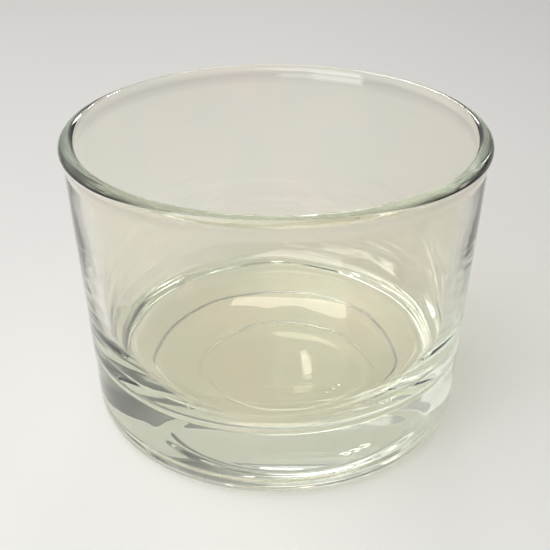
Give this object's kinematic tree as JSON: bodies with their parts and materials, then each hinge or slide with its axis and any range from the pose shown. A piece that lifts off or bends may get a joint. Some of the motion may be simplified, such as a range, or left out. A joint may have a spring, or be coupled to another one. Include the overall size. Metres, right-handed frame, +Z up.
{
  "type": "crystallizing dish",
  "caption": "Low heavy-based dish of clear pressed glass with a tapered wall, a rounded rim and a thick raised inner floor",
  "frame": {"origin": "middle of the standing ring, on the plane the dish stands on", "axes": "+Z up through the middle of the mouth, +X to the right of the picture, -Y towards its camera"},
  "size_m": [0.09, 0.09, 0.066],
  "materials": {
    "glass": "fire-polished pressed glass, clear with a faint yellow-green cast"
  },
  "bodies": {
    "root": {"glass_dish": "glass"}
  },
  "joints": []
}
